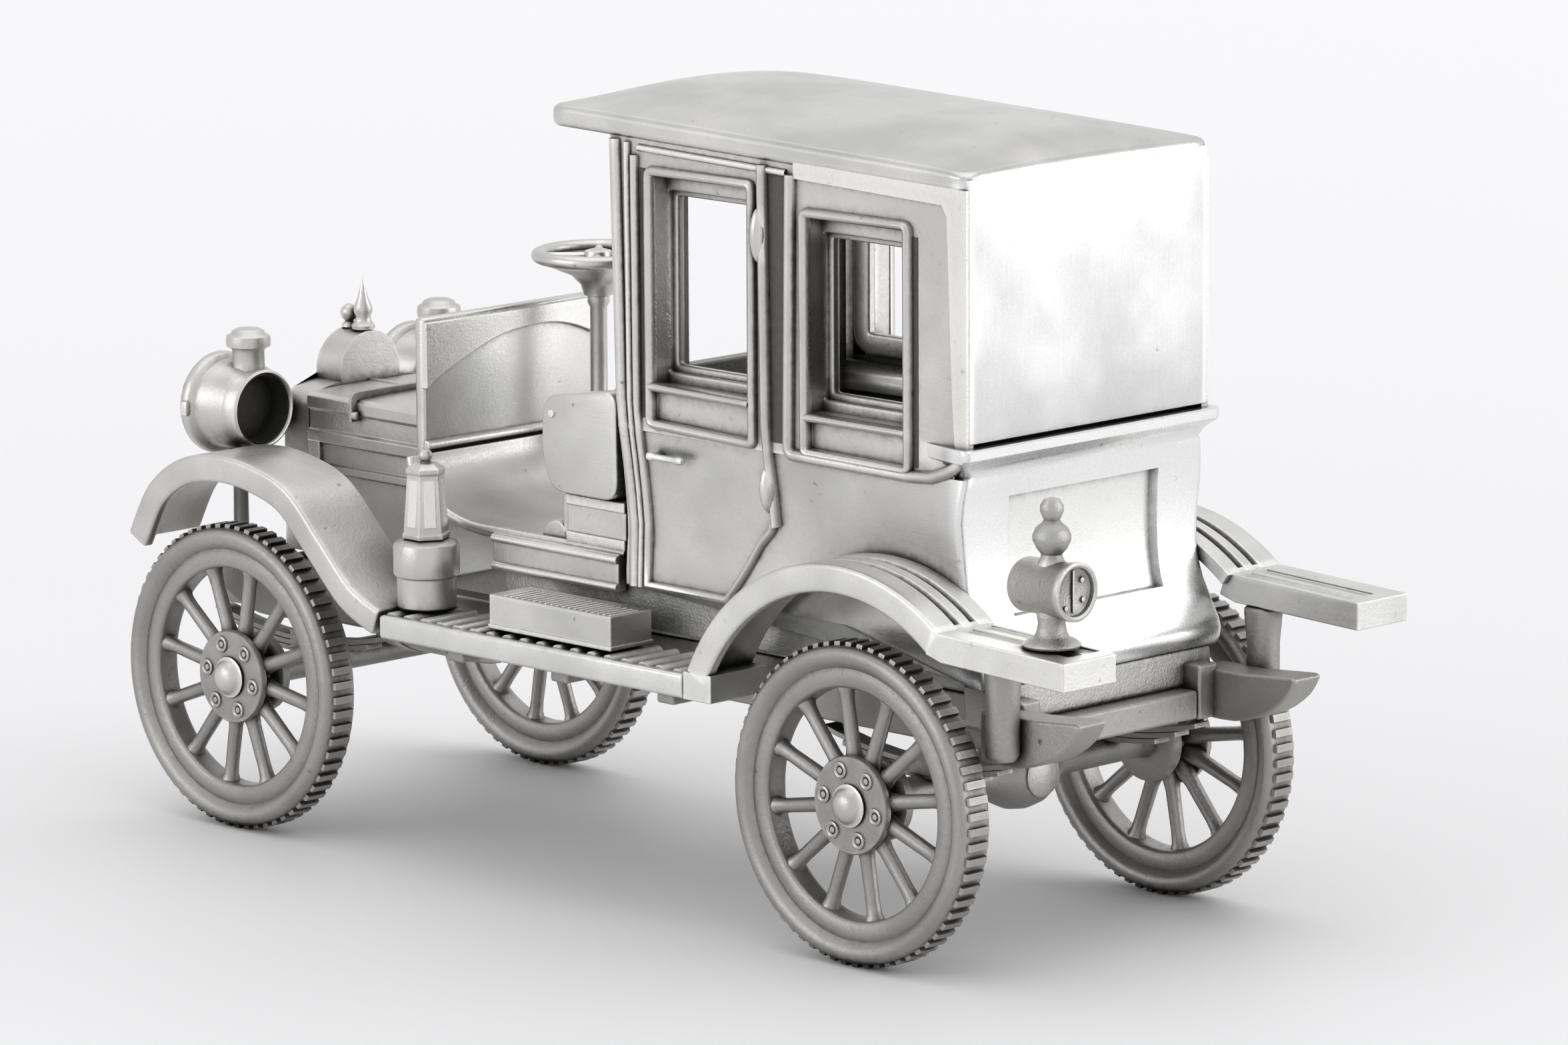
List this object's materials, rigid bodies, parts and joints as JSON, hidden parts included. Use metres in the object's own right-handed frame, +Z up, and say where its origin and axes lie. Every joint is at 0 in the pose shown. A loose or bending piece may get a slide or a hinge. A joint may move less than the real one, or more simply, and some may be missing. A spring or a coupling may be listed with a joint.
{
  "type": "diecast collector car",
  "caption": "Small cast pewter model of an early limousine: closed cabin with open windows, open driver's place, arched fenders, carriage lamps and spoked wheels that turn.",
  "frame": {"origin": "on the ground, under the middle of the car's length and width", "axes": "+X forward, +Y to the car's left, +Z up; the axles lie along Y"},
  "size_m": [0.0888, 0.0326, 0.0533],
  "materials": {
    "cast_satin": "satin cast pewter, lightly brushed on its high places",
    "cast_bright": "burnished pewter",
    "cast_dull": "dull antiqued pewter",
    "cast_dark": "blackened pewter"
  },
  "bodies": {
    "car": {"rear_axle": "cast_dull", "front_axle": "cast_dull", "rear_spring_left": "cast_dull", "rear_spring_right": "cast_dull", "front_spring_left": "cast_dull", "front_spring_right": "cast_dull", "frame_rail_left": "cast_dull", "frame_rail_right": "cast_dull", "rear_cross_member": "cast_dull", "front_cross_member": "cast_dull", "underbody_pan": "cast_dull", "engine_pan": "cast_dull", "running_board_left": "cast_satin", "running_board_right": "cast_satin", "step_box_left": "cast_satin", "step_box_right": "cast_satin", "rear_fender_left": "cast_satin", "rear_fender_right": "cast_satin", "front_fender_left": "cast_satin", "front_fender_right": "cast_satin", "body_side_left": "cast_satin", "body_side_right": "cast_satin", "rear_body_panel": "cast_bright", "roof_shell": "cast_bright", "front_partition": "cast_dull", "cabin_floor": "cast_dark", "door_handle_left": "cast_satin", "door_handle_right": "cast_satin", "driver_floor": "cast_satin", "driver_sill_left": "cast_satin", "driver_sill_right": "cast_satin", "driver_seat_base": "cast_satin", "driver_seat": "cast_satin", "seat_bracket": "cast_satin", "dashboard": "cast_bright", "bonnet": "cast_satin", "bonnet_strap": "cast_dark", "radiator": "cast_satin", "radiator_cap": "cast_satin", "cap_finial": "cast_satin", "steering_column": "cast_satin", "steering_wheel": "cast_satin", "headlamp_left": "cast_satin", "headlamp_right": "cast_satin", "headlamp_bracket_left": "cast_dull", "headlamp_bracket_right": "cast_dull", "side_lamp_left": "cast_satin", "side_lamp_right": "cast_satin", "tail_lamp": "cast_satin"},
    "rear_left_wheel": {"wheel_rear_left": "cast_satin", "hub_cap_rear_left": "cast_bright"},
    "rear_right_wheel": {"wheel_rear_right": "cast_satin", "hub_cap_rear_right": "cast_bright"},
    "front_left_wheel": {"wheel_front_left": "cast_satin", "hub_cap_front_left": "cast_bright"},
    "front_right_wheel": {"wheel_front_right": "cast_satin", "hub_cap_front_right": "cast_bright"}
  },
  "joints": [
    {"name": "rear_left_wheel_spin", "type": "hinge", "parent": "car", "child": "rear_left_wheel", "pos_m": [-0.02518, 0.01435, 0.0105], "axis": [0, 1, 0], "continuous": true},
    {"name": "rear_right_wheel_spin", "type": "hinge", "parent": "car", "child": "rear_right_wheel", "pos_m": [-0.02518, -0.01435, 0.0105], "axis": [0, 1, 0], "continuous": true},
    {"name": "front_left_wheel_spin", "type": "hinge", "parent": "car", "child": "front_left_wheel", "pos_m": [0.03392, 0.01435, 0.0105], "axis": [0, 1, 0], "continuous": true},
    {"name": "front_right_wheel_spin", "type": "hinge", "parent": "car", "child": "front_right_wheel", "pos_m": [0.03392, -0.01435, 0.0105], "axis": [0, 1, 0], "continuous": true}
  ]
}
